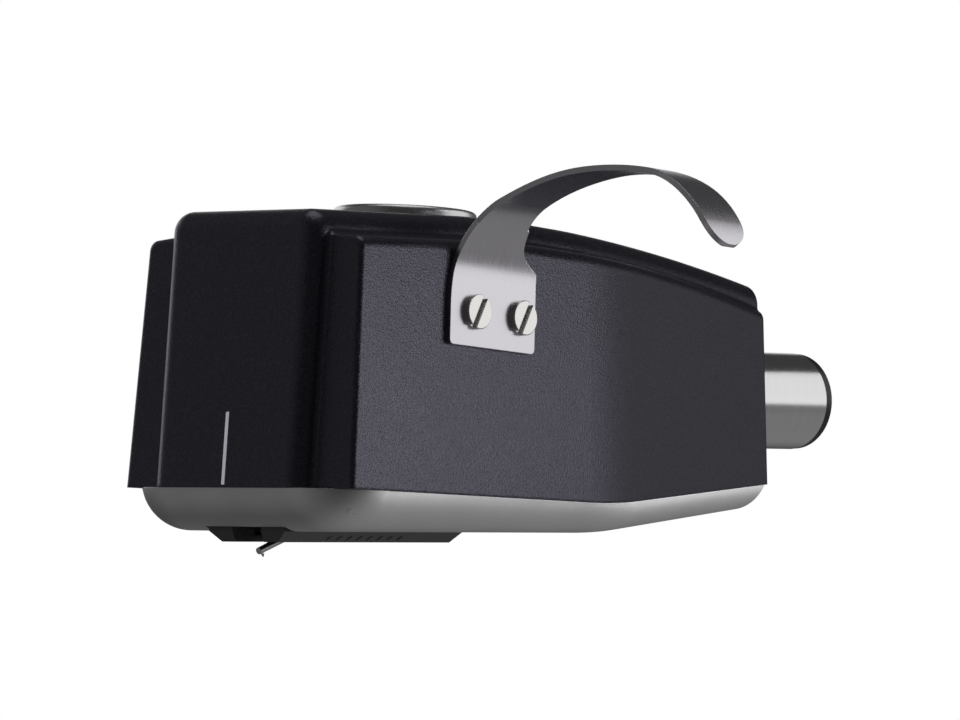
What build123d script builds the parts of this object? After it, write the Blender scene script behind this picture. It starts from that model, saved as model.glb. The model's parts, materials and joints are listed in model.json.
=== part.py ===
from build123d import *
import os
from math import asin, cos, degrees, radians, sin, sqrt, tan

# Sizes are in millimetres and degrees. The origin lies on the plug's axis, in the shell's rear face.
# +X runs along the plug towards the arm, +Z is up, and the finger lift is on the -Y side.

# Envelope
stylus_reach = 52.0
nose_overhang = 4.6
shell_height = 24.65
shell_width = 24.05
tail_width = 14.6
tail_length = 24.3
plug_height = 11.0
tip_drop = 2.0

# Upper shell
spine_width = 15.7
spine_tail_width = 12.2
nose_step = 1.58
shoulder_drop = 2.2
shoulder_slope = 6.0
front_draft = 5.0
side_draft = 2.2
crown_length = 37.2
crown_break_radius = 40.0
spine_break = 2.4
spine_radius = 226.0
shoulder_break = 2.8
shoulder_radius = 210.0
shell_wall = 1.6
shell_roof = 1.7
rear_wall = 7.5
spine_round = 1.7
panel_round = 1.45
shoulder_round = 0.85
corner_round = 0.45
cove_radius = 0.4
knee_blend = 30.0
boss_radius = 1.7
boss_bore_depth = 5.6

# Base sled and parting line
sled_nose_height = 3.35
sled_knee_height = 2.3
sled_tail_height = 4.0
sled_tail_lift = 1.97
underside_knee = 22.6
knee_radius = 60.0
sled_inset = 0.15
sled_rear_gap = 0.05
sled_corner = 5.4
sled_edge = 3.9
sled_rear_round = 0.4
sled_floor = 1.4

# Top disc
disc_radius = 5.65
disc_height = 0.64
disc_seat = 1.0
disc_back = 36.2
disc_tilt = 3.2
disc_round = 0.4

# Finger lift and its screws
lift_back = 39.24
lift_height = 14.15
lift_lean = 3.9
lift_width = 9.8
lift_sheet = 0.45
lift_plate = 5.3
lift_first_radius = 6.5
lift_first_turn = 66.0
lift_second_radius = 23.1
lift_second_turn = 34.9
lift_third_radius = 9.8
lift_third_turn = 58.5
lift_corner = 0.4
lift_shoulder_height = 6.2
lift_shoulder_round = 0.5
lift_neck_height = 7.4
lift_neck_width = 7.8
lift_neck_round = 2.0
lift_taper_height = 4.6
lift_taper_round = 12.0
lift_middle = -0.75
lift_entry_width = 5.7
lift_root_width = 4.94
lift_arch_width = 4.2
lift_waist_width = 2.8
lift_swell_width = 4.1
lift_tip_width = 4.25
lift_screw_height = 2.7
lift_screw_spacing = 5.3
lift_screw_shift = 0.62
lift_head_radius = 1.36
lift_head_height = 0.5
lift_slot_width = 0.5
lift_slot_depth = 0.3
lift_slot_turn = 27.0

# Screws
screw_radius = 0.8
screw_clearance = 0.12
screw_run_out = 0.6
head_radius = 1.4
head_height = 0.8
head_sink = 0.1
slot_width = 0.45
slot_depth = 0.4
sled_screw_back = 30.3
sled_screw_spacing = 13.0
tail_screw_back = 4.6

# Plug
plug_radius = 4.0
plug_bore = 2.9
plug_length = 12.5
plug_ring = 0.85
plug_ring_step = 0.05
plug_spigot_radius = 3.5
plug_spigot_length = 7.0
plug_let_in = 1.0
plug_neck_length = 6.85
plug_neck_relief = 0.05
key_back = 5.5
key_radius = 1.0
key_height = 1.1
root_gap = 0.1
pin_radius = 0.55
pin_spacing = 2.7
pin_stand = 0.7
pin_tail = 3.0

# Cartridge case
sole_front = 1.9
sole_length = 20.35
sole_width = 8.0
sole_drop = 0.83
sole_side_bevel = 1.05
sole_end_bevel = 0.4
sole_gap = 0.25
case_front_gap = 1.7
case_width = 12.4
case_height = 10.2
case_wall = 0.8
case_floor = 0.5
lid_thickness = 0.8
ear_radius = 1.7
ear_thickness = 1.4
ear_back = 42.0
ear_screw_spacing = 15.6
ear_screw_radius = 0.6
ear_screw_depth = 1.0
slot_half = 1.5
slot_rise = 1.2
terminal_radius = 0.45
terminal_pitch = 2.4
terminal_length = 3.0
terminal_height = 5.0

# Generator, along an axis that leans down towards the stylus
tracking_angle = 19.5
arm_length = 10.0
diamond_height = 0.62
diamond_radius = 0.13
cantilever_root_radius = 0.38
cantilever_tip_radius = 0.27
cantilever_overhang = 0.35
damper_radius = 1.0
damper_thickness = 0.5
damper_bore = 0.3
moving_gap = 0.15
armature_side = 1.8
armature_thickness = 0.4
coil_thickness = 0.15
coil_width = 0.4
coil_spread = 1.3
coil_gap = 0.02
pole_pin_radius = 1.1
pole_pin_sink = 0.2
wire_radius = 0.1
wire_grip = 1.0
front_plate_thickness = 2.0
front_plate_bore = 1.56
rear_plate_thickness = 2.6
plate_gap = 0.1
magnet_width = 10.0
magnet_lift = 0.25
grub_radius = 0.7
grub_length = 2.4
grub_gap = 0.05

# Leads
lead_radius = 0.4
lead_straight = 3.0
lead_bend = 4.0
clip_wall = 0.25
clip_length = 2.6
clip_end = 0.4

# Heights and stations that follow from the sizes above
underside_z = -plug_height
spine_z = underside_z + shell_height
foot_z = underside_z + sled_nose_height
floor_z = underside_z + sled_floor
nose_x = -stylus_reach - nose_overhang
shoulder_x = nose_x + nose_step
knee_x = -tail_length
half_width = shell_width / 2
tail_half = tail_width / 2
margin = 5.0
deep = half_width + margin
case_front = -stylus_reach - sole_front
case_rear = case_front + sole_length
box_front = case_front + case_front_gap
case_top = floor_z + case_height
axis_run = cos(radians(tracking_angle))
axis_rise = sin(radians(tracking_angle))
pivot_x = -stylus_reach - diamond_height * axis_rise + arm_length * axis_run
pivot_z = underside_z - tip_drop + diamond_height * axis_run + arm_length * axis_rise
generator = Plane(
    origin=(pivot_x, 0, pivot_z), x_dir=(0, 1, 0), z_dir=(axis_run, 0, axis_rise)
)
coil_build = coil_gap + coil_thickness
armature_back = -damper_thickness / 2 - moving_gap - 2 * coil_build
armature_middle = armature_back - armature_thickness / 2
armature_front = armature_back - armature_thickness
front_plate_x = pivot_x + armature_middle * axis_run - front_plate_thickness / 2
rear_plate_end = case_rear - case_wall - plate_gap
rear_plate_x = rear_plate_end - rear_plate_thickness
pole_pin_start = damper_thickness / 2 + moving_gap
pole_pin_lean = pole_pin_radius * tan(radians(tracking_angle))
pole_pin_end = (rear_plate_end - pivot_x) / axis_run - pole_pin_lean - pole_pin_sink
sole_z = underside_z - sole_drop
low_room_z = sole_z + case_floor
high_room_z = floor_z + case_floor
terminal_z = floor_z + terminal_height
terminal_x = case_rear + terminal_length + clip_end
contact_x = -rear_wall - pin_tail - clip_end
plug_land = plug_length - plug_ring
sled_seat_z = underside_z + head_sink + head_height
tail_rise = sled_tail_lift * (underside_knee - tail_screw_back + head_radius) / underside_knee
tail_seat_z = underside_z + tail_rise + head_sink + head_height
grub_x = (rear_plate_x + rear_plate_end) / 2
grub_rise = (grub_x + grub_radius - pivot_x) * tan(radians(tracking_angle))
grub_z = pivot_z + grub_rise + pole_pin_radius / axis_run + grub_gap
cantilever_end = -arm_length - cantilever_overhang


def half_width_at(x, z):
    """Half the body's width at a station and height."""
    taper = (half_width - tail_half) * max(0, x - knee_x) / tail_length
    return half_width - taper - (z - foot_z) * tan(radians(side_draft))


def block(x0, x1, y0, y1, z0, z1):
    """Box between two corners."""
    return Pos((x0 + x1) / 2, (y0 + y1) / 2, (z0 + z1) / 2) * Box(x1 - x0, y1 - y0, z1 - z0)


def rod(radius, start, along, length):
    """Cylinder from a point along a direction."""
    foot = (Align.CENTER, Align.CENTER, Align.MIN)
    return Plane(origin=start, z_dir=along) * Cylinder(radius, length, align=foot)


def side_prism(edges):
    """Closed outline in the XZ plane, extruded both ways along Y."""
    return extrude(Plane.XZ * make_face(edges), amount=deep, both=True)


def above_crown(drop, turn, radius):
    """Everything above a top line that is level at first, then breaks and falls in an arc."""
    top = spine_z - drop
    first = JernArc((-crown_length, top), (1, 0), crown_break_radius, -turn)
    start = first @ 1
    reach = sin(radians(turn)) + (margin - start.X) / radius
    second = JernArc(start, first % 1, radius, turn - degrees(asin(reach)))
    end = second @ 1
    rest = Polyline(
        (end.X, end.Y),
        (end.X, spine_z + margin),
        (nose_x - margin, spine_z + margin),
        (nose_x - margin, top),
        (-crown_length, top),
    )
    return side_prism([first.edge(), second.edge(), *rest.edges()])


def above_shoulder(side):
    """Everything above the shoulder on one side, which slopes down towards that side."""
    slope = radians(shoulder_slope)
    edge_z = spine_z - shoulder_drop
    level = edge_z * cos(slope) + half_width_at(knee_x, edge_z) * sin(slope)
    return Rot(-side * shoulder_slope, 0, 0) * above_crown(spine_z - level, shoulder_break, shoulder_radius)


def bent_line(nose, knee, tail, knee_back):
    """Side line with a rounded knee, through three heights above the underside."""
    slope_front = (nose - knee) / (-knee_back - nose_x)
    slope_tail = (tail - knee) / knee_back
    return FilletPolyline(
        (nose_x - margin, underside_z + nose + slope_front * margin),
        (-knee_back, underside_z + knee),
        (margin, underside_z + tail + slope_tail * margin),
        radius=knee_radius,
    )


def below_line(line):
    """Everything below a side line."""
    start = line @ 0
    end = line @ 1
    low = underside_z - margin
    rest = Polyline((end.X, end.Y), (end.X, low), (start.X, low), (start.X, start.Y))
    return side_prism([*line.edges(), *rest.edges()])


parting_line = bent_line(sled_nose_height, sled_knee_height, sled_tail_height, tail_length)
underside_line = bent_line(0, 0, sled_tail_lift, underside_knee)
floor_line = bent_line(sled_floor, sled_floor, sled_tail_lift + sled_floor, underside_knee)


def plan(front, front_half, knee_half, rear, rear_half, corner):
    """Outline from above, with flanks, a knee and a tapered tail."""
    line = FilletPolyline(
        (front, -front_half),
        (knee_x, -knee_half),
        (rear, -rear_half),
        (rear, rear_half),
        (knee_x, knee_half),
        (front, front_half),
        radius=[corner, knee_blend, 0, 0, knee_blend, corner],
        close=True,
    )
    return make_face(line.edges())


def drafted_block(front, half, rear_half, low, high, lean):
    """Block from a leaning front to past the rear face, with flanks drafted from the foot upwards."""
    spread = (foot_z - low) * tan(radians(lean))
    past = rear_half - (half - rear_half) * margin / tail_length + spread
    foot = Pos(0, 0, low) * plan(front - margin, half + spread, half + spread, margin, past, 0)
    part = extrude(foot, amount=high - low, taper=lean)
    ahead = block(-2 * margin, 0, -deep, deep, -2 * shell_height, 2 * shell_height)
    return part - Pos(front, 0, foot_z) * Rot(0, front_draft, 0) * ahead


def round_top(part, edge, front_edge, inner):
    """Rounds the long edges of a block's top, then its front's outline, which a trough may part in two."""
    long_edges = ShapeList()
    for face in part.faces().filter_by(lambda f: f.normal_at().Z > 0.9):
        long_edges += face.edges().filter_by(lambda e: e.bounding_box().size.X > e.bounding_box().size.Y)
    part = fillet(long_edges.filter_by(lambda e: abs(e.center().Y) > inner), edge)
    uprights = part.faces().sort_by(Axis.X)[0].edges().sort_by(Axis.Y)
    part = fillet([uprights[0], uprights[-1]] if inner else uprights[:1], front_edge)
    return part - block(0, 2 * margin, -deep, deep, underside_z, spine_z + margin)


def shoulder_block():
    """Drafted body under the two shoulders, with a trough where the spine goes in."""
    body = drafted_block(shoulder_x, half_width, tail_half, underside_z, spine_z, side_draft)
    body = body - above_shoulder(-1) - above_shoulder(1)
    inner = spine_tail_width / 4
    trough_z = spine_z - 2 * shoulder_drop
    body = body - block(nose_x - margin, 2 * margin, -inner, inner, trough_z, spine_z + margin)
    return round_top(body, shoulder_round, corner_round, 1.1 * inner)


def spine_block():
    """Spine that runs into the nose panel."""
    top = spine_z + margin
    spine = drafted_block(nose_x, spine_width / 2, spine_tail_width / 2, underside_z, top, 0)
    return round_top(spine - above_crown(0, spine_break, spine_radius), spine_round, panel_round, 0)


def shell_cavity():
    """Room inside the upper shell, closed towards the plug."""
    room = drafted_block(
        shoulder_x + shell_wall,
        half_width - shell_wall,
        tail_half - shell_wall,
        underside_z - margin,
        spine_z,
        side_draft,
    )
    room = room - block(-rear_wall, 2 * margin, -deep, deep, underside_z - margin, spine_z)
    return room - above_crown(shoulder_drop + shell_roof, shoulder_break, shoulder_radius)


cavity = shell_cavity()


def sled_screw_places():
    """Feet of the two sled screws."""
    return [(-sled_screw_back, side * sled_screw_spacing / 2) for side in (-1, 1)]


lift_wall_y = -half_width_at(-lift_back, underside_z + lift_height)
lift_run = cos(radians(lift_lean))
lift_fall = sin(radians(lift_lean))
wall_run = cos(radians(side_draft))
wall_lean = sin(radians(side_draft))
lift_frame = Plane(
    origin=(-lift_back, lift_wall_y, underside_z + lift_height),
    x_dir=(lift_run, -lift_fall * wall_lean, -lift_fall * wall_run),
    z_dir=(0, -wall_run, wall_lean),
)


disc_frame = Plane(
    origin=(-disc_back, 0, spine_z - disc_seat),
    x_dir=(0, 1, 0),
    z_dir=(sin(radians(disc_tilt)), 0, cos(radians(disc_tilt))),
)


def lift_screw_places():
    """Screw places on the finger lift's plate, in its own frame."""
    return [(lift_screw_shift + side * lift_screw_spacing / 2, lift_screw_height) for side in (-1, 1)]


def slotted_screw(radius, length, head, height, slot, depth, turn):
    """Screw with its head above the local XY plane and its shank below."""
    foot = (Align.CENTER, Align.CENTER, Align.MIN)
    top = chamfer((Cylinder(head, height, align=foot)).edges().group_by(Axis.Z)[-1], height / 8)
    groove = Pos(0, 0, height) * Box(slot, 3 * head, 2 * depth)
    shank = Pos(0, 0, -length) * Cylinder(radius, length, align=foot)
    return top - Rot(0, 0, turn) * groove + shank


def upper_shell():
    outer = shoulder_block() + spine_block()
    outer = fillet(outer.edges().filter_by(Edge.is_interior), cove_radius)
    shell = outer - cavity - below_line(parting_line)
    for x, y in sled_screw_places():
        post = rod(boss_radius, (x, y, floor_z), (0, 0, 1), shell_height)
        shell = shell + (post & cavity)
        shell = shell - rod(screw_radius, (x, y, floor_z), (0, 0, 1), boss_bore_depth)
    shell = shell - rod(plug_spigot_radius, (-rear_wall - margin, 0, 0), (1, 0, 0), rear_wall + 2 * margin)
    shell = shell - rod(plug_radius, (-plug_let_in, 0, 0), (1, 0, 0), margin)
    shell = shell - rod(screw_radius, (-tail_screw_back, 0, underside_z), (0, 0, 1), plug_height)
    shell = shell - disc_frame * rod(disc_radius, (0, 0, 0), (0, 0, 1), margin)
    for x, y in lift_screw_places():
        shell = shell - lift_frame * rod(screw_radius, (x, y, -margin), (0, 0, 1), 2 * margin)
    return shell


def edge_inset(height):
    """How far the sled's rounded lower edge stands in at a height above the underside."""
    return sled_edge - sqrt(sled_edge**2 - (sled_edge - height) ** 2)


def base_sled():
    front_half = half_width - sled_inset
    knee_half = front_half + edge_inset(sled_knee_height)
    rear_half = tail_half - sled_inset + edge_inset(sled_tail_height - sled_tail_lift)
    outline = plan(nose_x + sled_inset, front_half, knee_half, -sled_rear_gap, rear_half, sled_corner)
    low = underside_z - margin
    blank = extrude(Pos(0, 0, low) * outline, amount=3 * margin)
    blank = blank - below_line(underside_line)
    bottom = ShapeList()
    for face in blank.faces().filter_by(lambda f: f.normal_at().Z < -0.9):
        bottom += face.edges()
    rim = bottom.filter_by(lambda e: e.bounding_box().size.X > 0.05 or e.center().X < shoulder_x)
    blank = fillet(rim, sled_edge)
    rear = blank.faces().sort_by(Axis.X)[-1].edges().sort_by(Axis.Z)
    blank = fillet(rear[:-1], sled_rear_round)
    sled = blank & below_line(parting_line)
    sled = sled - (cavity - below_line(floor_line))
    half = sole_width / 2 + sole_gap
    sled = sled - block(case_front - sole_gap, case_rear + sole_gap, -half, half, low, foot_z + margin)
    for x, y in sled_screw_places():
        sled = sled - rod(screw_radius + screw_clearance, (x, y, low), (0, 0, 1), 2 * margin)
        sled = sled - rod(head_radius + screw_clearance, (x, y, low), (0, 0, 1), sled_seat_z - low)
    x = -tail_screw_back
    sled = sled - rod(screw_radius + screw_clearance, (x, 0, low), (0, 0, 1), 2 * margin)
    sled = sled - rod(head_radius + screw_clearance, (x, 0, low), (0, 0, 1), tail_seat_z - low)
    for side in (-1, 1):
        y = side * ear_screw_spacing / 2
        sled = sled - rod(ear_screw_radius, (-ear_back, y, floor_z), (0, 0, -1), ear_screw_depth)
    return sled


def top_disc():
    foot = (Align.CENTER, Align.CENTER, Align.MIN)
    disc = Cylinder(disc_radius, disc_seat + disc_height, align=foot)
    disc = fillet(disc.edges().group_by(Axis.Z)[-1], disc_round)
    return disc_frame * disc


def lift_side(sheet):
    """Side line of the finger lift's bends, outward and up, at a depth into the sheet."""
    line = Line((sheet, 0), (sheet, lift_plate))
    first = JernArc(line @ 1, line % 1, lift_first_radius - sheet, -lift_first_turn)
    second = JernArc(first @ 1, first % 1, lift_second_radius - sheet, -lift_second_turn)
    third = JernArc(second @ 1, second % 1, lift_third_radius - sheet, -lift_third_turn)
    return line, first, second, third


def lift_tip_waste(arc):
    """What is cut off the end of the strip to leave a full round."""
    radius = lift_tip_width / 2
    station = 1 - radius / arc.length
    centre = arc @ station
    heading = arc % station
    end = Plane(
        origin=(lift_middle, centre.Y, centre.X), x_dir=(1, 0, 0), z_dir=(0, -heading.X, heading.Y)
    )
    waste = Pos(0, 2 * radius, 0) * Box(4 * radius, 4 * radius, 2 * radius)
    return end * (waste - Cylinder(radius, 3 * radius))


def lift_front_view(root_height, top):
    """Outline of the finger lift's plate and rise, seen from its side of the head."""
    half = lift_width / 2
    left = lift_middle - lift_root_width / 2
    right = lift_middle + lift_root_width / 2
    outline = FilletPolyline(
        (-half, 0),
        (half, 0),
        (half, lift_shoulder_height),
        (lift_neck_width - half, lift_neck_height),
        (right, root_height),
        (right, top),
        (left, top),
        (left, root_height),
        (-half, lift_taper_height),
        radius=[
            lift_corner,
            lift_corner,
            lift_shoulder_round,
            lift_neck_round,
            lift_taper_round / 2,
            0,
            0,
            lift_taper_round / 2,
            lift_taper_round,
        ],
        close=True,
    )
    return make_face(outline.edges())


def lift_top_view(stations):
    """Outline of the finger lift seen along its plate: wide over the plate, then by width at each station."""
    sides = []
    for side in (-1, 1):
        wide = side * lift_width
        places = [(lift_middle + side * width / 2, out) for out, width in stations]
        sides.append([Polyline((wide, -margin), (wide, lift_sheet), places[0]), Spline(*places)])
    left, right = sides
    ends = [Line(left[0] @ 0, right[0] @ 0), Line(left[1] @ 1, right[1] @ 1)]
    edges = [edge for curve in (*left, *right, *ends) for edge in curve.edges()]
    return make_face(edges)


def finger_lift():
    back = lift_side(0)
    face = lift_side(lift_sheet)
    ends = [Line(back[0] @ 0, face[0] @ 0), Line(back[-1] @ 1, face[-1] @ 1)]
    edges = [curve.edge() for curve in (*back, *face, *ends)]
    side_plane = Plane(origin=(0, 0, 0), x_dir=(0, 0, 1), z_dir=(-1, 0, 0))
    strip = extrude(side_plane * make_face(edges), amount=lift_width, both=True)
    root = back[1] @ 1
    waist = back[2] @ 1
    tip = back[3] @ 1
    top = root.Y + 2 * margin
    front = extrude(lift_front_view(root.Y, top), amount=2 * tip.X, both=True)
    stations = (
        (root.X / 2, lift_entry_width),
        (root.X, lift_root_width),
        ((root.X + waist.X) / 2, lift_arch_width),
        (waist.X, lift_waist_width),
        ((waist.X + tip.X) / 2, lift_swell_width),
        (tip.X, lift_tip_width),
        (tip.X + margin, lift_tip_width),
    )
    plan_plane = Plane(origin=(0, 0, 0), x_dir=(1, 0, 0), z_dir=(0, -1, 0))
    above = extrude(plan_plane * lift_top_view(stations), amount=2 * top, both=True)
    lift = (strip & front & above) - lift_tip_waste(back[-1])
    for x, y in lift_screw_places():
        lift = lift - rod(screw_radius + screw_clearance, (x, y, -margin), (0, 0, 1), 2 * margin)
    return lift_frame * lift


def finger_lift_screws():
    length = lift_sheet + shell_wall + screw_run_out
    screw = slotted_screw(
        screw_radius,
        length,
        lift_head_radius,
        lift_head_height,
        lift_slot_width,
        lift_slot_depth,
        -lift_slot_turn,
    )
    return [lift_frame * Pos(x, y, lift_sheet) * screw for x, y in lift_screw_places()]


def plug_sleeve():
    foot = (Align.CENTER, Align.CENTER, Align.MIN)
    neck = Cone(plug_radius - plug_neck_relief, plug_radius, root_gap + plug_neck_length, align=foot)
    sleeve = Plane(origin=(-root_gap, 0, 0), z_dir=(1, 0, 0)) * neck
    sleeve = sleeve + rod(plug_radius, (-plug_let_in, 0, 0), (1, 0, 0), plug_let_in - root_gap)
    sleeve = sleeve + rod(plug_radius, (plug_neck_length, 0, 0), (1, 0, 0), plug_land - plug_neck_length)
    sleeve = sleeve + rod(plug_spigot_radius, (-plug_spigot_length, 0, 0), (1, 0, 0), plug_spigot_length)
    sleeve = sleeve - rod(plug_bore, (-margin - plug_spigot_length, 0, 0), (1, 0, 0), 3 * plug_length)
    sleeve = sleeve - rod(key_radius, (key_back, 0, 0), (0, 0, 1), 2 * plug_radius)
    return sleeve - rod(screw_radius, (-tail_screw_back, 0, 0), (0, 0, -1), 2 * plug_radius)


def contact_places():
    """Contact pins in a square around the plug's axis."""
    return [(y * pin_spacing / 2, z * pin_spacing / 2) for y in (-1, 1) for z in (-1, 1)]


def plug_insulator():
    core = rod(plug_bore, (-plug_spigot_length, 0, 0), (1, 0, 0), plug_spigot_length + plug_land)
    ring = rod(plug_radius - plug_ring_step, (plug_land, 0, 0), (1, 0, 0), plug_ring)
    ring = chamfer(ring.edges().group_by(Axis.X)[-1], plug_ring / 8)
    core = core + ring
    for y, z in contact_places():
        core = core - rod(pin_radius, (-2 * plug_length, y, z), (1, 0, 0), 4 * plug_length)
    return core


def plug_contact_pins():
    pins = []
    for y, z in contact_places():
        start = -rear_wall - pin_tail
        pin = rod(pin_radius, (start, y, z), (1, 0, 0), plug_length + pin_stand - start)
        pins.append(fillet(pin.edges().group_by(Axis.X)[-1], pin_radius * 0.7))
    return pins


def plug_key():
    seat = plug_bore + root_gap
    key = rod(key_radius, (key_back, 0, seat), (0, 0, 1), plug_radius + key_height - seat)
    return chamfer(key.edges().group_by(Axis.Z)[-1], key_radius / 5)


def tail_screw():
    length = -tail_seat_z - plug_bore - root_gap
    screw = slotted_screw(
        screw_radius, length, head_radius, head_height, slot_width, slot_depth, lift_slot_turn
    )
    return Pos(-tail_screw_back, 0, tail_seat_z) * Rot(180, 0, 0) * screw


def sled_screws():
    length = floor_z - sled_seat_z + boss_bore_depth - screw_run_out
    screw = slotted_screw(screw_radius, length, head_radius, head_height, slot_width, slot_depth, 0)
    return [Pos(x, y, sled_seat_z) * Rot(180, 0, 90 + y) * screw for x, y in sled_screw_places()]


def case_box(z0, z1, room):
    """Upper box of the cartridge case, or its room when the wall is taken off."""
    half = case_width / 2 - room
    return block(box_front + room, case_rear - room, -half, half, z0, z1)


def cartridge_case():
    half = sole_width / 2
    lower = make_face(
        Polyline(
            (case_front + sole_end_bevel, -half + sole_side_bevel),
            (case_rear - sole_end_bevel, -half + sole_side_bevel),
            (case_rear - sole_end_bevel, half - sole_side_bevel),
            (case_front + sole_end_bevel, half - sole_side_bevel),
            close=True,
        ).edges()
    )
    upper = make_face(
        Polyline(
            (case_front, -half), (case_rear, -half), (case_rear, half), (case_front, half), close=True
        ).edges()
    )
    case = loft([Pos(0, 0, sole_z) * lower, Pos(0, 0, underside_z) * upper], ruled=True)
    case = case + block(case_front, case_rear, -half, half, underside_z, floor_z)
    case = case + case_box(floor_z, case_top, 0)
    for side in (-1, 1):
        y = side * ear_screw_spacing / 2
        inner = side * (case_width / 2 - case_wall)
        case = case + block(
            -ear_back - ear_radius,
            -ear_back + ear_radius,
            min(y, inner),
            max(y, inner),
            floor_z,
            floor_z + ear_thickness,
        )
        case = case + rod(ear_radius, (-ear_back, y, floor_z), (0, 0, 1), ear_thickness)
        hole = ear_screw_radius + screw_clearance
        case = case - rod(hole, (-ear_back, y, floor_z), (0, 0, 1), ear_thickness)
    case = case - case_box(high_room_z, case_top, case_wall)
    low_half = sole_width / 2 - sole_side_bevel - case_wall / 2
    low_room = block(
        box_front + case_wall, case_rear - case_wall, -low_half, low_half, low_room_z, high_room_z
    )
    case = case - low_room
    case = case - block(
        case_front - margin,
        front_plate_x - plate_gap,
        -slot_half,
        slot_half,
        sole_z - margin,
        low_room_z + slot_rise,
    )
    for y in terminal_places():
        case = case - rod(terminal_radius, (case_rear - margin, y, terminal_z), (1, 0, 0), 2 * margin)
    return case


def terminal_places():
    """Terminal pins in a row across the case's rear wall."""
    return [(n - 1.5) * terminal_pitch for n in range(4)]


def terminal_pins():
    start = case_rear - case_wall
    length = terminal_length + case_wall
    return [rod(terminal_radius, (start, y, terminal_z), (1, 0, 0), length) for y in terminal_places()]


def cartridge_lid():
    return case_box(case_top, case_top + lid_thickness, 0)


def cartridge_screws():
    length = ear_thickness + ear_screw_depth
    head = ear_radius * 0.75
    screw = slotted_screw(ear_screw_radius, length, head, head_height, slot_width, slot_depth, lift_slot_turn)
    seat = floor_z + ear_thickness
    return [Pos(-ear_back, side * ear_screw_spacing / 2, seat) * screw for side in (-1, 1)]


def pole_plate(x0, x1):
    """Pole plate with a narrow foot that reaches down into the sole."""
    foot = sole_width / 2 - sole_side_bevel - case_wall / 2 - plate_gap
    half = case_width / 2 - case_wall - plate_gap
    plate = block(x0, x1, -foot, foot, low_room_z + plate_gap, case_top - plate_gap)
    return plate + block(x0, x1, -half, half, high_room_z + plate_gap, case_top - plate_gap)


def axis_rod(radius, start, end):
    """Cylinder along the generator's axis between two stations from the pivot."""
    return generator * rod(radius, (0, 0, start), (0, 0, 1), end - start)


def front_pole_plate():
    plate = pole_plate(front_plate_x, front_plate_x + front_plate_thickness)
    return plate - axis_rod(front_plate_bore, -arm_length, arm_length)


def rear_pole_plate():
    plate = pole_plate(rear_plate_x, rear_plate_end)
    plate = plate - axis_rod(pole_pin_radius, pole_pin_start, 3 * pole_pin_end)
    return plate - rod(grub_radius, (grub_x, 0, grub_z - grub_radius), (0, 0, 1), case_height)


def magnet():
    low = pivot_z + (rear_plate_x - pivot_x) * tan(radians(tracking_angle))
    low = low + pole_pin_radius / axis_run + magnet_lift
    x0 = front_plate_x + front_plate_thickness
    return block(x0, rear_plate_x, -magnet_width / 2, magnet_width / 2, low, case_top - plate_gap)


def pole_pin():
    pin = axis_rod(pole_pin_radius, pole_pin_start, pole_pin_end)
    pin = pin - axis_rod(damper_bore, pole_pin_start - moving_gap, pole_pin_end - wire_grip)
    return pin - axis_rod(wire_radius, pole_pin_start, 2 * pole_pin_end)


def pole_pin_grub():
    grub = rod(grub_radius, (grub_x, 0, grub_z), (0, 0, 1), grub_length)
    return grub - Pos(grub_x, 0, grub_z + grub_length) * Box(slot_width / 2, 4 * grub_radius, slot_depth)


def suspension_wire():
    return axis_rod(wire_radius, -damper_thickness / 4, pole_pin_end)


def damper_ring():
    half = damper_thickness / 2
    ring = axis_rod(damper_radius, -half, half)
    return ring - axis_rod(damper_bore, -2 * half, 2 * half)


def armature():
    plate = Box(armature_side, armature_side, armature_thickness)
    return generator * Pos(0, 0, armature_middle) * Rot(0, 0, 45) * plate


def coil_pair(turn, layers):
    """Two loops of one coil around the armature, wound over earlier layers."""
    across = armature_side + 2 * coil_gap
    along = armature_thickness + 2 * layers * coil_build + 2 * coil_gap
    loop = Box(coil_width, across + 2 * coil_thickness, along + 2 * coil_thickness)
    loop = loop - Box(2 * coil_width, across, along)
    place = generator * Pos(0, 0, armature_middle) * Rot(0, 0, 45 + turn)
    return [place * Pos(side * coil_spread / 2, 0, 0) * loop for side in (-1, 1)]


def cantilever():
    length = armature_front - cantilever_end
    foot = (Align.CENTER, Align.CENTER, Align.MIN)
    tube = Pos(0, 0, cantilever_end) * Cone(cantilever_tip_radius, cantilever_root_radius, length, align=foot)
    top = cantilever_tip_radius / 2
    hole = rod(diamond_radius, (0, top, -arm_length), (0, -1, 0), top + 2 * cantilever_tip_radius)
    return generator * (tube - hole)


def stylus_tip():
    point = diamond_radius * 2
    start = cantilever_tip_radius / 2
    shank = rod(diamond_radius, (0, start, -arm_length), (0, -1, 0), start + diamond_height - point)
    foot = (Align.CENTER, Align.CENTER, Align.MIN)
    cone = Cone(diamond_radius, diamond_radius / 8, point, align=foot)
    seat = Plane(origin=(0, point - diamond_height, -arm_length), z_dir=(0, -1, 0))
    return generator * (shank + seat * cone)


def clip(radius, x, y, z, direction):
    """Closed cup that is pushed over a pin and holds the end of a lead."""
    outer = rod(radius + clip_wall, (x, y, z), (direction, 0, 0), clip_end + clip_length)
    return outer - rod(radius, (x + direction * clip_end, y, z), (direction, 0, 0), 2 * clip_length)


def lead_ends():
    """Start and end of each lead: the outer terminals go to the upper pins."""
    ends = []
    for y, above in zip(terminal_places(), (1, -1, -1, 1)):
        side = 1 if y > 0 else -1
        contact = (contact_x, side * pin_spacing / 2, above * pin_spacing / 2)
        ends.append(((terminal_x, y, terminal_z), contact))
    return ends


def lead_clips():
    clips = []
    for start, end in lead_ends():
        clips.append(clip(terminal_radius, *start, -1))
        clips.append(clip(pin_radius, *end, 1))
    return clips


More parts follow.
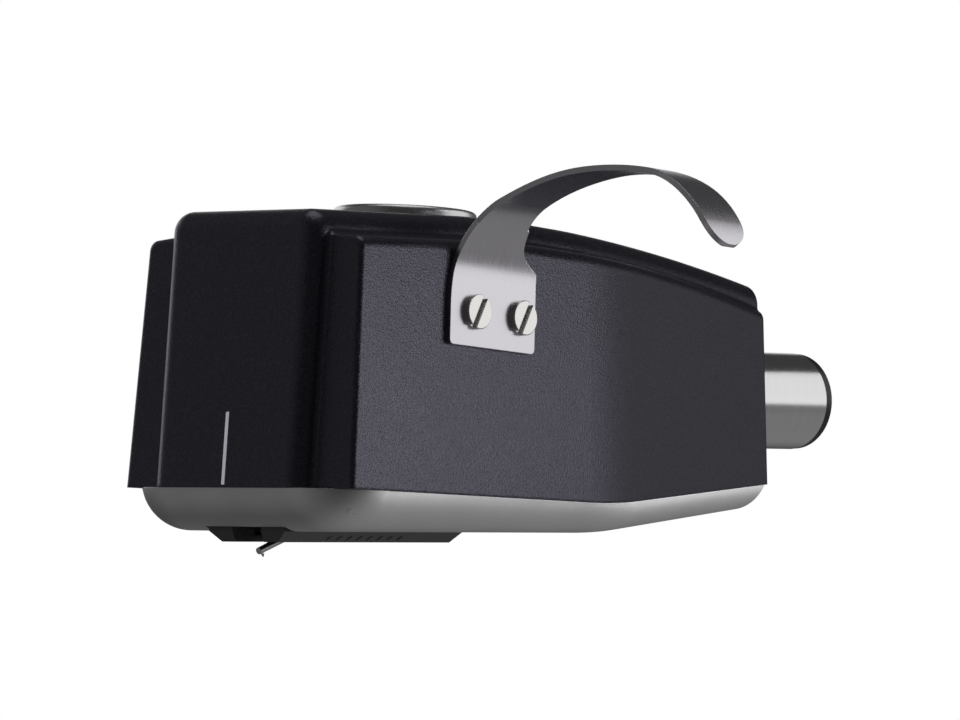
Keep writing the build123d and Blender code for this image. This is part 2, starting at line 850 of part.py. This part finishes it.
def lead(start, end):
    near = (start[0] + lead_straight, start[1], start[2])
    far = (end[0] - lead_straight, end[1], end[2])
    path = FilletPolyline(start, near, far, end, radius=lead_bend)
    section = Plane(origin=start, z_dir=(1, 0, 0)) * Circle(lead_radius)
    return sweep(section, path=path)


nodes = {
    "upper_shell": upper_shell(),
    "base_sled": base_sled(),
    "top_disc": top_disc(),
    "finger_lift": finger_lift(),
    "finger_lift_screws": finger_lift_screws(),
    "plug_sleeve": plug_sleeve(),
    "plug_insulator": plug_insulator(),
    "plug_contact_pins": plug_contact_pins(),
    "plug_key": plug_key(),
    "tail_screw": tail_screw(),
    "sled_screws": sled_screws(),
    "cartridge_case": cartridge_case(),
    "cartridge_lid": cartridge_lid(),
    "cartridge_screws": cartridge_screws(),
    "terminal_pins": terminal_pins(),
    "front_pole_plate": front_pole_plate(),
    "rear_pole_plate": rear_pole_plate(),
    "magnet": magnet(),
    "pole_pin": pole_pin(),
    "pole_pin_grub": pole_pin_grub(),
    "suspension_wire": suspension_wire(),
    "damper_ring": damper_ring(),
    "armature": armature(),
    "coil_left": coil_pair(0, 0),
    "coil_right": coil_pair(90, 1),
    "cantilever": cantilever(),
    "stylus_tip": stylus_tip(),
    "lead_clips": lead_clips(),
}
for colour, ends in zip(("white", "blue", "green", "red"), lead_ends()):
    nodes["lead_" + colour] = lead(*ends)

os.makedirs("parts", exist_ok=True)
for name, shape in nodes.items():
    solids = shape if isinstance(shape, list) else [shape]
    group = Compound([solid for item in solids for solid in item.solids()])
    export_step(group, f"parts/{name}.step")
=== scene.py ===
import json
import math
import bmesh
import bpy
from mathutils import Matrix, Vector

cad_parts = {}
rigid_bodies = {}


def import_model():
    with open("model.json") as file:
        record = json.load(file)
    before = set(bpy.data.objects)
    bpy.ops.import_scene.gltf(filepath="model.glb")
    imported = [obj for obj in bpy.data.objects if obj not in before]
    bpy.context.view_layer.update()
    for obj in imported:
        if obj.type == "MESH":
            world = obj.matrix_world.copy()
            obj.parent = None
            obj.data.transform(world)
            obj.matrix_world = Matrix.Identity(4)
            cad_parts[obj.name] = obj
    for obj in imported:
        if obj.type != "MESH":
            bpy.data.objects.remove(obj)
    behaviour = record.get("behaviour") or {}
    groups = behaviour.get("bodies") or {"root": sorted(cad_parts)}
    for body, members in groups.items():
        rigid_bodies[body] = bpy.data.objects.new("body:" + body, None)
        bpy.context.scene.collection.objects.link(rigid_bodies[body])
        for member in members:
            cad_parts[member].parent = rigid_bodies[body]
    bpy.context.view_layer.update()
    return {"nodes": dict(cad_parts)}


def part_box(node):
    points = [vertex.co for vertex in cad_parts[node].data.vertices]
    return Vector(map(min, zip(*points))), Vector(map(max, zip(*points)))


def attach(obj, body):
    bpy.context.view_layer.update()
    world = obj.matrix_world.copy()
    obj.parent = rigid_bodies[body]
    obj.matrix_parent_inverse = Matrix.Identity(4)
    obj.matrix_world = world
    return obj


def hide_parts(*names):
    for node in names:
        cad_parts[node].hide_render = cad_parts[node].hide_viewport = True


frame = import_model()
nodes = frame["nodes"]
mm = 0.001


# Node helpers

def add(tree, kind, values=None, **settings):
    """New node in a tree, with its socket values and its own settings."""
    node = tree.nodes.new(kind)
    for name, value in settings.items():
        setattr(node, name, value)
    for name, value in (values or {}).items():
        node.inputs[name].default_value = value
    return node


def finish_named(name, values):
    """Material with a Principled shader and its constant values; returns material, tree and shader."""
    material = bpy.data.materials.new(name)
    material.use_nodes = True
    tree = material.node_tree
    shader = tree.nodes["Principled BSDF"]
    for socket, value in values.items():
        shader.inputs[socket].default_value = value
    return material, tree, shader


def place_in(tree, scale=(1, 1, 1), origin=(0, 0, 0)):
    """Object coordinates from an origin, stretched along each axis."""
    where = add(tree, "ShaderNodeTexCoord")
    stretch = [1 / s for s in scale]
    mapping = add(tree, "ShaderNodeMapping", {"Location": origin, "Scale": stretch}, vector_type="TEXTURE")
    tree.links.new(where.outputs["Object"], mapping.inputs["Vector"])
    return mapping.outputs["Vector"]


def grain(tree, vector, size, detail=2.0, roughness=0.5):
    """Noise whose grains are about one size across, in metres."""
    node = add(tree, "ShaderNodeTexNoise", {"Scale": 1 / size, "Detail": detail, "Roughness": roughness})
    tree.links.new(vector, node.inputs["Vector"])
    return node.outputs["Fac"]


def spread(tree, value, low, high, start=0.3, end=0.7):
    """Value between start and end, stretched to run from low to high."""
    node = add(tree, "ShaderNodeMapRange")
    node.inputs["From Min"].default_value = start
    node.inputs["From Max"].default_value = end
    node.inputs["To Min"].default_value = low
    node.inputs["To Max"].default_value = high
    tree.links.new(value, node.inputs["Value"])
    return node.outputs["Result"]


def tint(tree, value, dark, light):
    """Colour between two, by a value."""
    node = add(tree, "ShaderNodeMix", data_type="RGBA")
    colours = [s for s in node.inputs if s.type == "RGBA"]
    colours[0].default_value = (*dark, 1)
    colours[1].default_value = (*light, 1)
    tree.links.new(value, node.inputs["Factor"])
    return [s for s in node.outputs if s.type == "RGBA"][0]


def relief(tree, shader, height, depth, edge=0.0):
    """Bump of a real depth, over edges that are rounded by a small radius."""
    bump = add(tree, "ShaderNodeBump", {"Strength": 1.0, "Distance": depth})
    tree.links.new(height, bump.inputs["Height"])
    if edge:
        soft = add(tree, "ShaderNodeBevel", {"Radius": edge}, samples=6)
        tree.links.new(soft.outputs["Normal"], bump.inputs["Normal"])
    tree.links.new(bump.outputs["Normal"], shader.inputs["Normal"])


# Finishes

def shell_coat():
    """Blue-black coat with a fine raised grain and paler specks."""
    values = {"Specular IOR Level": 1.0, "Specular Tint": (0.80, 0.775, 1.0, 1)}
    material, tree, shader = finish_named("shell_coat", values)
    where = place_in(tree)
    fine = grain(tree, where, 0.16 * mm, 2.0)
    broad = grain(tree, where, 6 * mm, 2.0)
    specks = spread(tree, fine, 0, 1, 0.45, 0.72)
    colour = tint(tree, specks, (0.010, 0.0095, 0.0135), (0.050, 0.047, 0.066))
    tree.links.new(colour, shader.inputs["Base Color"])
    tree.links.new(spread(tree, broad, 0.31, 0.33), shader.inputs["Roughness"])
    relief(tree, shader, fine, 0.035 * mm, 0.3 * mm)
    return material


def satin_aluminium():
    """Blasted and anodised aluminium."""
    material, tree, shader = finish_named("satin_aluminium", {"Metallic": 1.0})
    where = place_in(tree)
    fine = grain(tree, where, 0.12 * mm, 3.0)
    broad = grain(tree, where, 4 * mm, 2.0)
    colour = tint(tree, spread(tree, broad, 0, 1), (0.70, 0.69, 0.705), (0.75, 0.745, 0.755))
    tree.links.new(colour, shader.inputs["Base Color"])
    tree.links.new(spread(tree, fine, 0.46, 0.54), shader.inputs["Roughness"])
    relief(tree, shader, fine, 0.002 * mm, 0.08 * mm)
    return material


def brushed_steel():
    """Steel sheet, brushed along the strip."""
    material, tree, shader = finish_named("brushed_steel", {"Metallic": 1.0})
    where = place_in(tree, (1, 0.04, 0.04))
    streaks = grain(tree, where, 0.09 * mm, 4.0, 0.6)
    colour = tint(tree, spread(tree, streaks, 0, 1), (0.60, 0.58, 0.62), (0.645, 0.625, 0.665))
    tree.links.new(colour, shader.inputs["Base Color"])
    tree.links.new(spread(tree, streaks, 0.25, 0.30), shader.inputs["Roughness"])
    relief(tree, shader, streaks, 0.0008 * mm, 0.08 * mm)
    return material


def bright_nickel():
    """Nickel plate on turned heads."""
    material, tree, shader = finish_named("bright_nickel", {"Metallic": 1.0})
    where = place_in(tree)
    fine = grain(tree, where, 0.2 * mm, 3.0)
    colour = tint(tree, spread(tree, fine, 0, 1), (0.68, 0.67, 0.65), (0.76, 0.75, 0.73))
    tree.links.new(colour, shader.inputs["Base Color"])
    tree.links.new(spread(tree, fine, 0.2, 0.32), shader.inputs["Roughness"])
    relief(tree, shader, fine, 0.004 * mm, 0.06 * mm)
    return material


def turned_metal(name, dark, light, rough):
    """Metal turned about the plug's axis, with fine rings along it."""
    material, tree, shader = finish_named(name, {"Metallic": 1.0})
    where = place_in(tree, (1, 0.02, 0.02))
    rings = grain(tree, where, 0.08 * mm, 4.0, 0.6)
    colour = tint(tree, spread(tree, rings, 0, 1), dark, light)
    tree.links.new(colour, shader.inputs["Base Color"])
    tree.links.new(spread(tree, rings, rough - 0.05, rough + 0.05), shader.inputs["Roughness"])
    relief(tree, shader, rings, 0.003 * mm, 0.06 * mm)
    return material


def grained_metal(name, dark, light, rough, size=0.25 * mm):
    """Plain metal with a fine grain."""
    material, tree, shader = finish_named(name, {"Metallic": 1.0})
    fine = grain(tree, place_in(tree), size, 3.0)
    colour = tint(tree, spread(tree, fine, 0, 1), dark, light)
    tree.links.new(colour, shader.inputs["Base Color"])
    tree.links.new(spread(tree, fine, rough - 0.06, rough + 0.06), shader.inputs["Roughness"])
    relief(tree, shader, fine, 0.005 * mm, 0.05 * mm)
    return material


def moulded(name, dark, light, rough):
    """Moulding, rubber or insulation with a fine grain."""
    material, tree, shader = finish_named(name, {"Specular IOR Level": 0.5})
    fine = grain(tree, place_in(tree), 0.2 * mm, 3.0)
    colour = tint(tree, spread(tree, fine, 0, 1), dark, light)
    tree.links.new(colour, shader.inputs["Base Color"])
    tree.links.new(spread(tree, fine, rough - 0.06, rough + 0.06), shader.inputs["Roughness"])
    relief(tree, shader, fine, 0.008 * mm, 0.06 * mm)
    return material


def diamond():
    """Clear, hard stone with faint growth bands."""
    material, tree, shader = finish_named("diamond", {"Transmission Weight": 0.8, "IOR": 2.4})
    bands = grain(tree, place_in(tree), 0.05 * mm, 2.0)
    colour = tint(tree, bands, (0.75, 0.78, 0.8), (0.9, 0.92, 0.95))
    tree.links.new(colour, shader.inputs["Base Color"])
    tree.links.new(spread(tree, bands, 0.03, 0.1), shader.inputs["Roughness"])
    return material


def dress(finish, *names):
    """Gives solids a finish."""
    for name in names:
        mesh = nodes[name].data
        mesh.materials.clear()
        mesh.materials.append(finish)


def dress_all():
    """Gives every solid its finish."""
    nickel = bright_nickel()
    black = moulded("black_moulding", (0.012, 0.012, 0.013), (0.022, 0.022, 0.024), 0.42)
    dress(case_grey, "cartridge_case", "cartridge_lid")
    plated = turned_metal("nickel_sleeve", (0.62, 0.62, 0.62), (0.69, 0.69, 0.69), 0.2)
    steel = grained_metal("plain_steel", (0.42, 0.42, 0.42), (0.56, 0.56, 0.56), 0.35)
    gold = grained_metal("gold_plate", (0.78, 0.55, 0.2), (0.88, 0.66, 0.28), 0.22)
    iron = grained_metal("soft_iron", (0.22, 0.22, 0.23), (0.34, 0.34, 0.35), 0.45)
    dress(shell_coat(), "upper_shell")
    dress(sled_satin, "base_sled")
    dress(grained_metal("turned_disc", (0.55, 0.55, 0.56), (0.62, 0.62, 0.63), 0.3), "top_disc")
    dress(brushed_steel(), "finger_lift")
    dress(nickel, "finger_lift_screws")
    dress(plated, "plug_sleeve", "plug_key")
    dress(black, "plug_insulator")
    dress(gold, "plug_contact_pins", "terminal_pins", "lead_clips")
    dress(steel, "tail_screw", "sled_screws", "cartridge_screws", "pole_pin_grub", "suspension_wire")
    dress(iron, "front_pole_plate", "rear_pole_plate", "pole_pin", "armature")
    dress(grained_metal("magnet_alloy", (0.16, 0.16, 0.17), (0.26, 0.26, 0.27), 0.5), "magnet")
    dress(moulded("damper_rubber", (0.01, 0.01, 0.01), (0.03, 0.03, 0.03), 0.7), "damper_ring")
    dress(turned_metal("drawn_tube", (0.45, 0.45, 0.46), (0.6, 0.6, 0.61), 0.35), "cantilever")
    dress(diamond(), "stylus_tip")
    colours = {
        "white": ((0.62, 0.62, 0.6), (0.75, 0.75, 0.72)),
        "blue": ((0.02, 0.06, 0.32), (0.035, 0.09, 0.42)),
        "green": ((0.02, 0.2, 0.06), (0.035, 0.28, 0.09)),
        "red": ((0.36, 0.02, 0.02), (0.48, 0.035, 0.03)),
    }
    for colour, tones in colours.items():
        dress(moulded("insulation_" + colour, *tones, 0.4), "lead_" + colour)


sled_satin = satin_aluminium()
case_grey = moulded("case_moulding", (0.06, 0.06, 0.062), (0.10, 0.10, 0.104), 0.42)
dress_all()


# Sizes of the scene's pieces, in metres and degrees

generator_lean = 19.5
armature_side = 1.8 * mm
armature_thickness = 0.4 * mm
coil_gap = 0.02 * mm
coil_build = 0.17 * mm
coil_spread = 1.3 * mm
coil_wire = 0.05 * mm
coil_turns = 8
coil_layers = 3
coil_bend = 0.04 * mm
bend_steps = 4
wire_sides = 6
left_turn = 45
right_turn = 135
sole_half = 4.0 * mm
sole_bevel = 1.05 * mm
sole_drop = 0.83 * mm
rib_count = 8
rib_step = 1.15 * mm
rib_start = -48.2 * mm
rib_share = 0.62
rib_size = (0.13 * mm, 0.34 * mm, 0.07 * mm)
rib_slant = 28
rib_sides = 12
rib_rings = 8
nose_lean = 5.0
nose_foot = -7.65 * mm
line_foot = -7.45 * mm
line_length = 5.6 * mm
line_width = 0.35 * mm
line_film = 0.02 * mm
line_soft = 0.012 * mm
fill_at = (-53.503 * mm, 10.383 * mm, -9.505 * mm)
fill_facing = (-0.418, 0.666, -0.618)
fill_radius = 0.6 * mm
fill_depth = 0.18 * mm
fill_stand = 0.02 * mm
fill_sides = 24
fill_rings = 16


# Pieces of the scene

def grown(name, tree, sizes):
    """Plain mesh object from a Geometry Nodes tree and its named sizes."""
    holder = bpy.data.objects.new(name, bpy.data.meshes.new(name + "_seed"))
    bpy.context.scene.collection.objects.link(holder)
    modifier = holder.modifiers.new(name, "NODES")
    modifier.node_group = tree
    for socket in tree.interface.items_tree:
        if socket.name in sizes:
            modifier[socket.identifier] = sizes[socket.name]
    bpy.context.view_layer.update()
    settled = holder.evaluated_get(bpy.context.evaluated_depsgraph_get())
    mesh = bpy.data.meshes.new_from_object(settled)
    holder.modifiers.remove(modifier)
    holder.data = mesh
    mesh.name = name
    return holder


def size_tree(name, sizes):
    """Empty Geometry Nodes tree with named sizes; returns the tree, its inputs and its output node."""
    tree = bpy.data.node_groups.new(name, "GeometryNodeTree")
    for label, kind in sizes.items():
        tree.interface.new_socket(label, in_out="INPUT", socket_type=kind)
    tree.interface.new_socket("Geometry", in_out="OUTPUT", socket_type="NodeSocketGeometry")
    return tree, add(tree, "NodeGroupInput").outputs, add(tree, "NodeGroupOutput")


def close_tree(tree, output, instances, finish):
    """Ends a tree in plain geometry with one finish."""
    real = add(tree, "GeometryNodeRealizeInstances")
    paint = add(tree, "GeometryNodeSetMaterial", {"Material": finish})
    tree.links.new(instances, real.inputs["Geometry"])
    tree.links.new(real.outputs["Geometry"], paint.inputs["Geometry"])
    tree.links.new(paint.outputs["Geometry"], output.inputs["Geometry"])


def sum_of(tree, first, second):
    """Sum of two values of a tree."""
    node = add(tree, "ShaderNodeMath", operation="ADD")
    tree.links.new(first, node.inputs[0])
    tree.links.new(second, node.inputs[1])
    return node.outputs[0]


def winding_tree(finish):
    """Two bands of round wire, wound side by side and in layers around a flat former."""
    sizes = dict.fromkeys(("Width", "Height", "Band spread", "Wire"), "NodeSocketFloat")
    sizes["Turns"] = "NodeSocketInt"
    tree, given, output = size_tree("coil_winding", sizes)
    layers = add(tree, "GeometryNodeJoinGeometry")
    for layer in range(coil_layers):
        grow = add(tree, "ShaderNodeMath", {1: 2.0 * layer + 1.0}, operation="MULTIPLY")
        tree.links.new(given["Wire"], grow.inputs[0])
        loop = add(tree, "GeometryNodeCurvePrimitiveQuadrilateral")
        for side in ("Width", "Height"):
            tree.links.new(sum_of(tree, given[side], grow.outputs[0]), loop.inputs[side])
        corner = add(tree, "GeometryNodeFilletCurve", {"Radius": coil_bend}, mode="POLY")
        corner.inputs[1].default_value = bend_steps
        tree.links.new(loop.outputs["Curve"], corner.inputs["Curve"])
        tree.links.new(corner.outputs["Curve"], layers.inputs["Geometry"])
    round_wire = add(tree, "GeometryNodeCurvePrimitiveCircle", {"Resolution": wire_sides})
    half = add(tree, "ShaderNodeMath", {1: 0.5}, operation="MULTIPLY")
    tree.links.new(given["Wire"], half.inputs[0])
    tree.links.new(half.outputs[0], round_wire.inputs["Radius"])
    wire = add(tree, "GeometryNodeCurveToMesh")
    tree.links.new(layers.outputs["Geometry"], wire.inputs["Curve"])
    tree.links.new(round_wire.outputs["Curve"], wire.inputs["Profile Curve"])
    step = add(tree, "ShaderNodeCombineXYZ")
    tree.links.new(given["Wire"], step.inputs["Z"])
    row = add(tree, "GeometryNodeMeshLine")
    tree.links.new(given["Turns"], row.inputs["Count"])
    tree.links.new(step.outputs["Vector"], row.inputs["Offset"])
    band = add(tree, "GeometryNodeInstanceOnPoints")
    tree.links.new(row.outputs["Mesh"], band.inputs["Points"])
    tree.links.new(wire.outputs["Mesh"], band.inputs["Instance"])
    gap = add(tree, "ShaderNodeCombineXYZ")
    tree.links.new(given["Band spread"], gap.inputs["Z"])
    pair = add(tree, "GeometryNodeMeshLine", {"Count": 2})
    tree.links.new(gap.outputs["Vector"], pair.inputs["Offset"])
    both = add(tree, "GeometryNodeInstanceOnPoints")
    tree.links.new(pair.outputs["Mesh"], both.inputs["Points"])
    tree.links.new(band.outputs["Instances"], both.inputs["Instance"])
    close_tree(tree, output, both.outputs["Instances"], finish)
    return tree


def coil(tree, node, turn, build):
    """One winding on the armature, turned about the generator's axis, over earlier layers."""
    low, high = (Vector(corner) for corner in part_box("armature"))
    lean = math.radians(generator_lean)
    axes = Matrix((
        (0, -math.sin(lean), math.cos(lean)),
        (1, 0, 0),
        (0, math.cos(lean), math.sin(lean)),
    )).to_4x4()
    sizes = {
        "Width": armature_side + 2 * coil_gap,
        "Height": armature_thickness + 2 * coil_gap + 2 * build,
        "Band spread": coil_spread,
        "Wire": coil_wire,
        "Turns": coil_turns,
    }
    piece = grown(node + "_winding", tree, sizes)
    start = -(coil_spread + (coil_turns - 1) * coil_wire) / 2
    lay = Matrix(((0, 0, 1), (1, 0, 0), (0, 1, 0))).to_4x4()
    about = Matrix.Rotation(math.radians(turn), 4, "Z")
    place = Matrix.Translation((low + high) / 2) @ axes @ about @ Matrix.Translation((start, 0, 0)) @ lay
    piece.data.transform(place)
    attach(piece, "stylus_assembly")
    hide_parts(node)


def rib_tree(finish):
    """Row of small raised ribs, each a low lens that stands across the row at a slant."""
    sizes = {"Ribs": "NodeSocketInt", "Step": "NodeSocketFloat", "Rib size": "NodeSocketVector"}
    sizes["Slant"] = "NodeSocketFloat"
    tree, given, output = size_tree("sole_ribs", sizes)
    step = add(tree, "ShaderNodeCombineXYZ")
    tree.links.new(given["Step"], step.inputs["X"])
    row = add(tree, "GeometryNodeMeshLine")
    tree.links.new(given["Ribs"], row.inputs["Count"])
    tree.links.new(step.outputs["Vector"], row.inputs["Offset"])
    shape = {"Segments": rib_sides, "Rings": rib_rings, "Radius": 1.0}
    lens = add(tree, "GeometryNodeMeshUVSphere", shape)
    turn = add(tree, "ShaderNodeCombineXYZ")
    tree.links.new(given["Slant"], turn.inputs["Z"])
    ribs = add(tree, "GeometryNodeInstanceOnPoints")
    tree.links.new(row.outputs["Mesh"], ribs.inputs["Points"])
    tree.links.new(lens.outputs["Mesh"], ribs.inputs["Instance"])
    tree.links.new(turn.outputs["Vector"], ribs.inputs["Rotation"])
    tree.links.new(given["Rib size"], ribs.inputs["Scale"])
    close_tree(tree, output, ribs.outputs["Instances"], finish)
    return tree


def sole_ribs(finish):
    """Plain ribs on the bevels of the case's sole."""
    sole_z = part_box("cartridge_case")[0][2]
    tree = rib_tree(finish)
    sizes = {"Ribs": rib_count, "Step": rib_step, "Rib size": rib_size, "Slant": math.radians(rib_slant)}
    slope = math.atan2(sole_drop, sole_bevel)
    for side, name in ((-1, "near"), (1, "far")):
        piece = grown("sole_ribs_" + name, tree, sizes)
        y = side * (sole_half - rib_share * sole_bevel)
        z = sole_z + (1 - rib_share) * sole_drop
        face = Matrix.Rotation(side * slope, 4, "X")
        piece.data.transform(Matrix.Translation((rib_start, y, z)) @ face)
        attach(piece, "headshell")


def laid_in(name, sheet, finish):
    """Object in the scene from a finished sheet of faces."""
    mesh = bpy.data.meshes.new(name)
    sheet.to_mesh(mesh)
    sheet.free()
    mesh.materials.append(finish)
    piece = bpy.data.objects.new(name, mesh)
    bpy.context.scene.collection.objects.link(piece)
    return piece


def painted_line(finish):
    """Alignment line down the middle of the nose panel, a thin coat of paint with soft edges."""
    nose_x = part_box("upper_shell")[0][0]
    sheet = bmesh.new()
    bmesh.ops.create_cube(sheet, size=1.0)
    bmesh.ops.scale(sheet, vec=(2 * line_film, line_width, line_length), verts=sheet.verts)
    bmesh.ops.bevel(sheet, geom=sheet.edges, offset=line_soft, segments=2, affect="EDGES")
    lean = math.radians(nose_lean)
    middle_z = line_foot + line_length / 2 * math.cos(lean)
    middle_x = nose_x + (middle_z - nose_foot) * math.tan(lean)
    place = Matrix.Translation((middle_x, 0, middle_z)) @ Matrix.Rotation(lean, 4, "Y")
    bmesh.ops.transform(sheet, matrix=place, verts=sheet.verts)
    piece = laid_in("alignment_line", sheet, finish)
    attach(piece, "headshell")


def corner_fills(finish):
    """Small lens behind the opening in each front corner of the sled, level with its outer face."""
    sheet = bmesh.new()
    for side in (-1, 1):
        ball = bmesh.ops.create_uvsphere(sheet, u_segments=fill_sides, v_segments=fill_rings, radius=1.0)
        lens = ball["verts"]
        bmesh.ops.scale(sheet, vec=(fill_radius, fill_radius, fill_depth), verts=lens)
        outward = Vector((fill_facing[0], side * fill_facing[1], fill_facing[2])).normalized()
        at = Vector((fill_at[0], side * fill_at[1], fill_at[2])) + outward * (fill_stand - fill_depth)
        place = Matrix.Translation(at) @ outward.to_track_quat("Z", "Y").to_matrix().to_4x4()
        bmesh.ops.transform(sheet, matrix=place, verts=lens)
    piece = laid_in("sled_corner_fills", sheet, finish)
    piece.data.shade_smooth()
    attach(piece, "headshell")


copper_wire = grained_metal("copper_wire", (0.50, 0.19, 0.07), (0.68, 0.31, 0.13), 0.28, 0.03 * mm)
windings = winding_tree(copper_wire)
coil(windings, "coil_left", left_turn, 0.0)
coil(windings, "coil_right", right_turn, coil_build)
sole_ribs(case_grey)
painted_line(moulded("line_paint", (0.74, 0.75, 0.84), (0.82, 0.83, 0.92), 0.45))
corner_fills(sled_satin)


# Stage, light and camera
# A wall is a bearing and rise, the angles between which its glow fades, and the glow.

middle = Vector((-0.03, -0.005, 0.0))
studio_dim = 0.05
studio_walls = [
    (41, 7, 6, 14, 0.8),
    (138, 4, 25, 62, 0.075),
    (160, -38, 20, 45, 0.08),
    (-20, -50, 30, 62, 0.2),
]
floor_radius = 0.9
floor_z = -0.06
floor_sides = 96
view_turn = 41.752
view_rise = 1.149
view_roll = 0.424
view_distance = 0.57096
view_aim = Vector((-0.0366, -0.008434, 0.002408))
view_lens = 275.4
view_sensor = 36.0


def heading(bearing, rise):
    """Direction from a bearing about the upright and a rise above the level, in degrees."""
    turn = math.radians(bearing)
    lift = math.radians(rise)
    return Vector((math.cos(turn) * math.cos(lift), math.sin(turn) * math.cos(lift), math.sin(lift)))


def softbox(name, bearing, rise, distance, size, glow, lit=None):
    """Rectangular area light of an even glow, seen from the head at a bearing and rise in degrees."""
    lamp = bpy.data.lights.new(name, "AREA")
    lamp.shape = "RECTANGLE"
    lamp.size, lamp.size_y = size
    lamp.energy = glow * math.pi * lamp.size * lamp.size_y
    holder = bpy.data.objects.new(name, lamp)
    away = heading(bearing, rise)
    holder.location = middle + away * distance
    holder.rotation_mode = "QUATERNION"
    holder.rotation_quaternion = (-away).to_track_quat("-Z", "Y")
    holder.visible_camera = False
    if lit:
        holder.light_linking.receiver_collection = lit
    bpy.context.scene.collection.objects.link(holder)


def lit_group(name, pieces):
    """Pieces, by name, that a light of their own reaches."""
    group = bpy.data.collections.new(name)
    for piece in pieces:
        group.objects.link(bpy.data.objects[piece])
    return group


def floor():
    """Pale floor, well below the head, that stays out of its reflections."""
    paint = {"Roughness": 0.9, "Base Color": (0.86, 0.86, 0.86, 1)}
    material = finish_named("pale_floor", paint)[0]
    mesh = bpy.data.meshes.new("floor")
    sheet = bmesh.new()
    bmesh.ops.create_circle(sheet, cap_ends=True, segments=floor_sides, radius=floor_radius)
    sheet.to_mesh(mesh)
    sheet.free()
    mesh.transform(Matrix.Translation((0, 0, floor_z)))
    mesh.materials.append(material)
    board = bpy.data.objects.new("floor", mesh)
    board.visible_glossy = False
    board.visible_diffuse = False
    bpy.context.scene.collection.objects.link(board)


def soft_patch(tree, bearing, rise, inner, outer, glow):
    """Glow of a round patch of the studio's walls, which fades between two angles from its middle."""
    where = add(tree, "ShaderNodeTexCoord")
    facing = add(tree, "ShaderNodeVectorMath", operation="DOT_PRODUCT")
    facing.inputs[1].default_value = heading(bearing, rise)
    tree.links.new(where.outputs["Generated"], facing.inputs[0])
    edge = (math.cos(math.radians(outer)), math.cos(math.radians(inner)))
    return spread(tree, facing.outputs["Value"], 0, glow, *edge)


def surroundings():
    """White behind the object, and a dim studio with a few lighter walls around it."""
    world = bpy.data.worlds.new("studio")
    bpy.context.scene.world = world
    world.use_nodes = True
    tree = world.node_tree
    tree.nodes.clear()
    output = add(tree, "ShaderNodeOutputWorld")
    path = add(tree, "ShaderNodeLightPath")
    seen = add(tree, "ShaderNodeBackground", {"Color": (1, 1, 1, 1), "Strength": 1.0})
    around = add(tree, "ShaderNodeBackground", {"Color": (1, 1, 1, 1)})
    total = None
    for patch in studio_walls:
        both = add(tree, "ShaderNodeMath", {0: studio_dim}, operation="ADD")
        if total:
            tree.links.new(total, both.inputs[0])
        tree.links.new(soft_patch(tree, *patch), both.inputs[1])
        total = both.outputs[0]
    tree.links.new(total, around.inputs["Strength"])
    mix = add(tree, "ShaderNodeMixShader")
    tree.links.new(path.outputs["Is Camera Ray"], mix.inputs["Fac"])
    tree.links.new(around.outputs[0], mix.inputs[1])
    tree.links.new(seen.outputs[0], mix.inputs[2])
    tree.links.new(mix.outputs[0], output.inputs["Surface"])
    bpy.context.scene.view_settings.view_transform = "Standard"


def camera():
    """Long lens at the photograph's angle."""
    along = heading(view_turn, view_rise)
    lens = bpy.data.cameras.new("camera")
    lens.lens = view_lens
    lens.sensor_width = view_sensor
    lens.clip_start = 0.01
    lens.clip_end = 20.0
    holder = bpy.data.objects.new("camera", lens)
    holder.location = view_aim - along * view_distance
    holder.rotation_mode = "QUATERNION"
    roll = Matrix.Rotation(math.radians(view_roll), 3, "Z")
    turn = along.to_track_quat("-Z", "Y").to_matrix() @ roll
    holder.rotation_quaternion = turn.to_quaternion()
    bpy.context.scene.collection.objects.link(holder)
    bpy.context.scene.camera = holder


shell_pieces = ["upper_shell", "alignment_line"]
sled_pieces = ["base_sled", "sled_corner_fills"]
other_pieces = [piece.name for piece in bpy.data.objects if piece.name not in shell_pieces]
floor()
surroundings()
shell_lit = lit_group("shell_lit", shell_pieces)
softbox("low_strip", -60, 3, 0.18, (0.11, 0.045), 2.7, shell_lit)
softbox("fill_strip", -30, 5, 0.45, (0.4, 0.15), 0.22, shell_lit)
softbox("main_box", -43, 17, 0.45, (0.52, 0.37), 1.02, lit_group("metal_lit", other_pieces))
softbox("sled_card", -27, -13, 0.14, (0.15, 0.06), 1.6, lit_group("sled_lit", sled_pieces))
softbox("line_card", 175, 8, 0.4, (0.2, 0.2), 3.4, lit_group("line_lit", ["alignment_line"]))
softbox("far_strip", 76, 14, 0.5, (0.5, 0.26), 1.0)
softbox("floor_light", 0, 89, 1.2, (2.4, 2.4), 1.15, lit_group("floor_lit", ["floor"]))
softbox("top_box", 0, 88, 0.6, (0.5, 0.5), 1.0)
camera()
